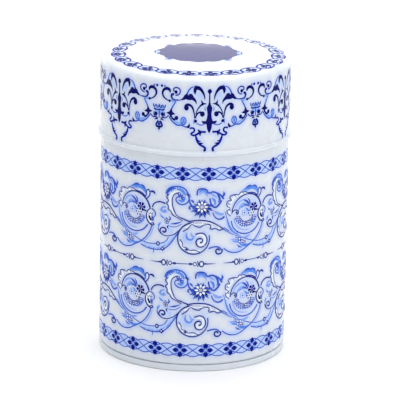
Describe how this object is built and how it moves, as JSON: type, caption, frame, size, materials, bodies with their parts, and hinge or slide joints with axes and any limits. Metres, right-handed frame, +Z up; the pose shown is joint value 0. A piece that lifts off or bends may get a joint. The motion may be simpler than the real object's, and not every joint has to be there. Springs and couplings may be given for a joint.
{
  "type": "spice tin",
  "caption": "Upright round slip-lid tin for loose spice or tea, with a flush seamed base and a dished inner lid lifted by a knob under the tall outer lid.",
  "frame": {"origin": "centre of the circle the tin stands on, level with the bottom of the base seam", "axes": "+Z up along the tin's axis; -Y is the front, the side the tin shows; +X is to the right seen from the front"},
  "size_m": [0.0792, 0.0792, 0.1229],
  "materials": {
    "white_enamel": "gloss white lacquer over tinplate",
    "blue_print": "gloss blue printing ink under varnish",
    "tinplate": "bright tinplate with a thin clear lacquer",
    "knob": "satin lacquered turned knob",
    "rivet": "plain rivet"
  },
  "bodies": {
    "tin": {"body_wall": "white_enamel", "base_disc": "white_enamel"},
    "inner_lid_set": {"inner_lid": "tinplate", "inner_lid_knob": "knob", "knob_rivet": "rivet"},
    "outer_lid": {"outer_lid": "white_enamel"}
  },
  "joints": [
    {"name": "inner_lid_lift", "type": "slide", "parent": "tin", "child": "inner_lid_set", "axis": [0, 0, 1], "range_m": [0, 0.04]},
    {"name": "outer_lid_lift", "type": "slide", "parent": "inner_lid_set", "child": "outer_lid", "axis": [0, 0, 1], "range_m": [0, 0.06]}
  ]
}
